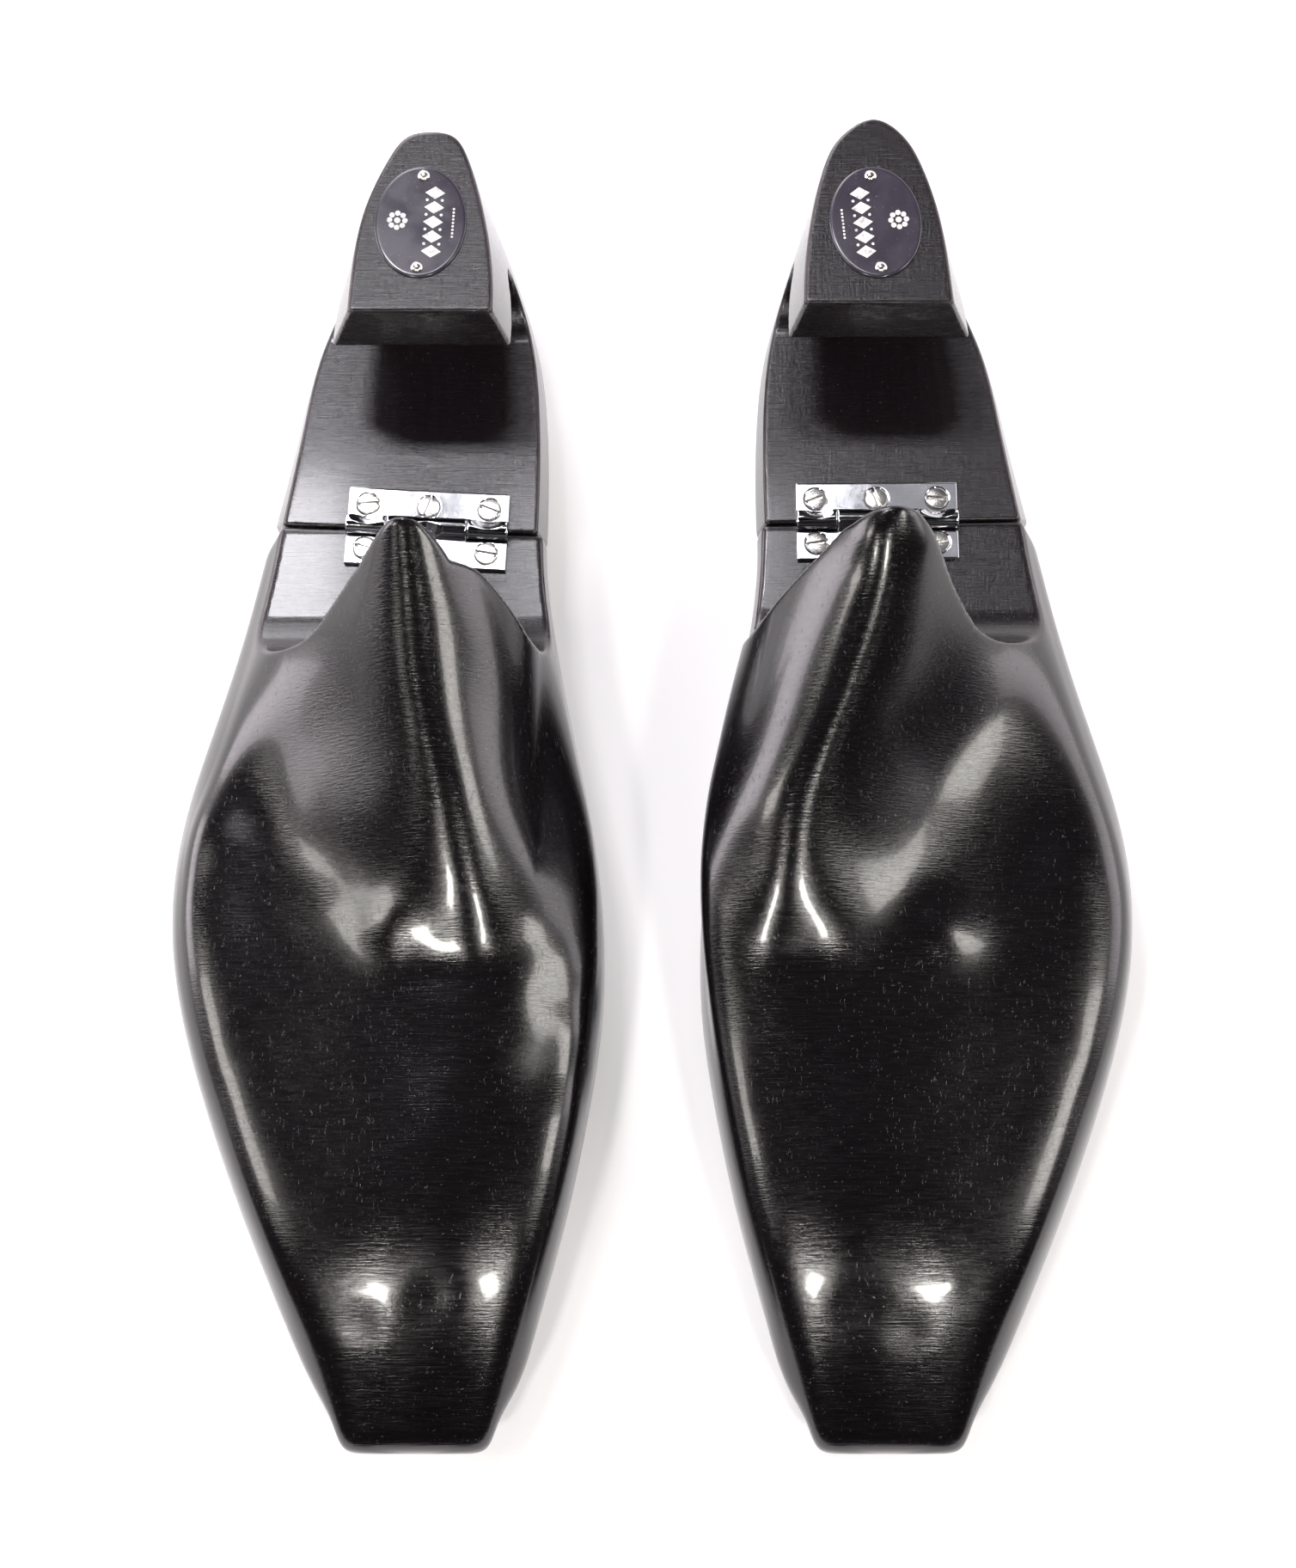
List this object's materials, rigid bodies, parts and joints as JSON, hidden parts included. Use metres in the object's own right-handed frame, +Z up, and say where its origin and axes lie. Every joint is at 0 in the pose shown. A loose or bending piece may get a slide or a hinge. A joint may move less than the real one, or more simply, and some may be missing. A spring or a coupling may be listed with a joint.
{
  "type": "shoe tree pair",
  "caption": "Pair of lacquered wooden shoe trees, each a carved forepart and a heel block joined by a butt hinge over a hand cut-out, with an oval badge on the heel.",
  "frame": {"origin": "on the surface that the pair rests on, under the middle of the pair's box", "axes": "+Y from the toes to the heels, +Z up, +X from the right tree to the left tree"},
  "size_m": [0.2222, 0.2999, 0.0796],
  "materials": {
    "forepart_wood": "near-black satin-gloss lacquer",
    "heel_wood": "near-black stained wood, satin",
    "hinge_metal": "bright plated",
    "pin_metal": "plain steel",
    "screw_metal": "bright plated",
    "badge_plate": "dark enamel with a white ornament",
    "badge_pin_metal": "bright domed heads"
  },
  "bodies": {
    "right_front": {"right_forepart": "forepart_wood", "right_front_leaf": "hinge_metal", "right_front_screw_1": "screw_metal", "right_front_screw_2": "screw_metal", "right_front_screw_3": "screw_metal"},
    "right_heel": {"right_heel_block": "heel_wood", "right_rear_leaf": "hinge_metal", "right_hinge_pin": "pin_metal", "right_rear_screw_1": "screw_metal", "right_rear_screw_2": "screw_metal", "right_rear_screw_3": "screw_metal", "right_badge": "badge_plate", "right_badge_pin_1": "badge_pin_metal", "right_badge_pin_2": "badge_pin_metal"},
    "left_front": {"left_forepart": "forepart_wood", "left_front_leaf": "hinge_metal", "left_front_screw_1": "screw_metal", "left_front_screw_2": "screw_metal", "left_front_screw_3": "screw_metal"},
    "left_heel": {"left_heel_block": "heel_wood", "left_rear_leaf": "hinge_metal", "left_hinge_pin": "pin_metal", "left_rear_screw_1": "screw_metal", "left_rear_screw_2": "screw_metal", "left_rear_screw_3": "screw_metal", "left_badge": "badge_plate", "left_badge_pin_1": "badge_pin_metal", "left_badge_pin_2": "badge_pin_metal"}
  },
  "joints": [
    {"name": "left_tree_place", "type": "slide", "parent": "right_front", "child": "left_front", "axis": [1, 0, 0], "range_m": [0, 0.12]},
    {"name": "right_heel_fold", "type": "hinge", "parent": "right_front", "child": "right_heel", "pos_m": [-0.053, 0.062, 0.0344], "axis": [0.9986, -0.0523, 0], "range_deg": [0, 60]},
    {"name": "left_heel_fold", "type": "hinge", "parent": "left_front", "child": "left_heel", "pos_m": [0.053, 0.064, 0.0344], "axis": [1, 0.0087, 0], "range_deg": [0, 60]}
  ]
}
